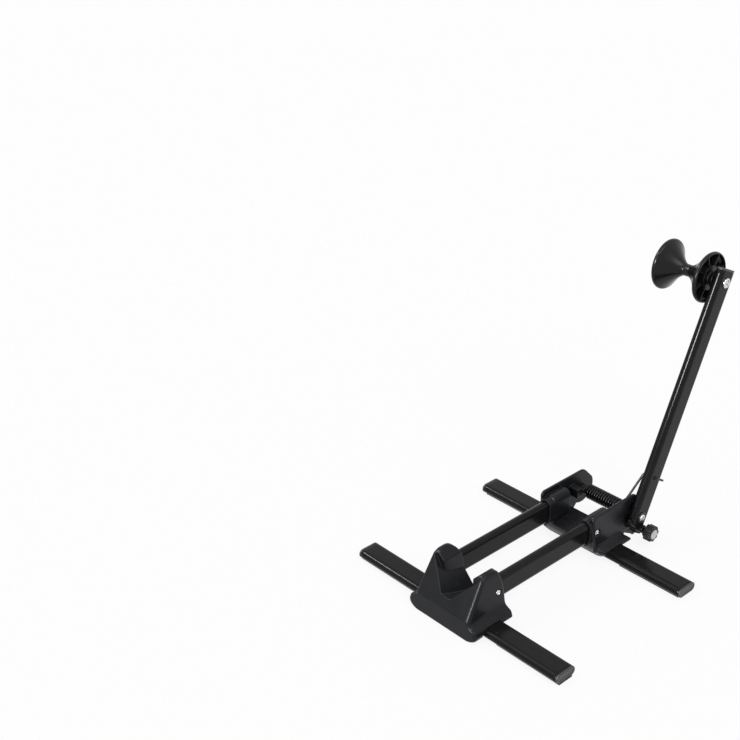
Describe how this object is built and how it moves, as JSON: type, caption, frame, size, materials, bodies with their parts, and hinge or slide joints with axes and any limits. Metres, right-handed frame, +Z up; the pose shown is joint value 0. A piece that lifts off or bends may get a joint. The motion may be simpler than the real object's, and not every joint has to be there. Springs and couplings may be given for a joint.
{
  "type": "bike parking stand",
  "caption": "Floor stand with flat-oval feet and rails, a moulded V cradle at one end and a leaning arm with an hourglass roller at the other, holding a bicycle by one wheel.",
  "frame": {"origin": "on the floor, in the middle of the stand's overall width and length", "axes": "+X to the side that carries the arm, +Y from the cradle end to the arm end, +Z up"},
  "size_m": [0.375, 0.5357, 0.419],
  "materials": {
    "gloss_black_tube": "gloss black powder coat on flat-oval steel tube",
    "matte_black_moulding": "fine-textured black moulding",
    "grey_black_cap": "smooth grey-black plastic",
    "black_rubber": "dull black rubber strip",
    "zinc_steel": "bright zinc plate",
    "black_spring_wire": "black coated spring wire",
    "black_nylon": "plain black nylon",
    "black_roller": "satin black moulding",
    "black_knob": "satin black moulding",
    "grey_insert": "plain grey plastic"
  },
  "bodies": {
    "stand": {"front_foot": "gloss_black_tube", "rear_foot": "gloss_black_tube", "front_foot_cap_left": "grey_black_cap", "front_foot_cap_right": "grey_black_cap", "rear_foot_cap_left": "grey_black_cap", "rear_foot_cap_right": "grey_black_cap", "front_foot_pad_left": "black_rubber", "front_foot_pad_right": "black_rubber", "rear_foot_pad_left": "black_rubber", "rear_foot_pad_right": "black_rubber", "rail_left": "gloss_black_tube", "rail_right": "gloss_black_tube", "front_cradle": "matte_black_moulding", "rear_housing": "matte_black_moulding", "cradle_rail_screw_left": "zinc_steel", "cradle_rail_screw_right": "zinc_steel", "housing_rail_screw_left": "zinc_steel", "housing_rail_screw_right": "zinc_steel", "front_foot_screw_left": "zinc_steel", "front_foot_screw_right": "zinc_steel", "rear_foot_screw_left": "zinc_steel", "rear_foot_screw_right": "zinc_steel", "pivot_bolt": "zinc_steel", "pivot_washer": "black_nylon", "pivot_nut": "zinc_steel", "pivot_nut_washer": "zinc_steel", "spring_sleeve": "black_nylon"},
    "arm": {"arm_tube": "gloss_black_tube", "arm_top_plug": "grey_black_cap", "arm_end_plug": "grey_black_cap", "arm_pivot_bush": "black_nylon", "torsion_spring": "black_spring_wire", "roller_spacer": "matte_black_moulding", "roller_axle_bolt": "zinc_steel", "roller_axle_washer": "zinc_steel", "roller_axle_nut": "zinc_steel"},
    "roller": {"roller": "black_roller", "roller_bush_left": "black_nylon", "roller_bush_right": "black_nylon"},
    "knob": {"locking_knob": "black_knob", "knob_stud": "zinc_steel", "knob_insert": "grey_insert"}
  },
  "joints": [
    {"name": "arm_pivot", "type": "hinge", "parent": "stand", "child": "arm", "pos_m": [0.0582, 0.08486, 0.0475], "axis": [1, 0, 0], "range_deg": [-14, 98], "deforming": ["torsion_spring"]},
    {"name": "roller_spin", "type": "hinge", "parent": "arm", "child": "roller", "pos_m": [0.0019, 0.22934, 0.38058], "axis": [1, 0, 0], "continuous": true},
    {"name": "knob_turn", "type": "hinge", "parent": "stand", "child": "knob", "pos_m": [0.075, 0.09336, 0.0225], "axis": [1, 0, 0], "range_deg": [0, 360]}
  ]
}
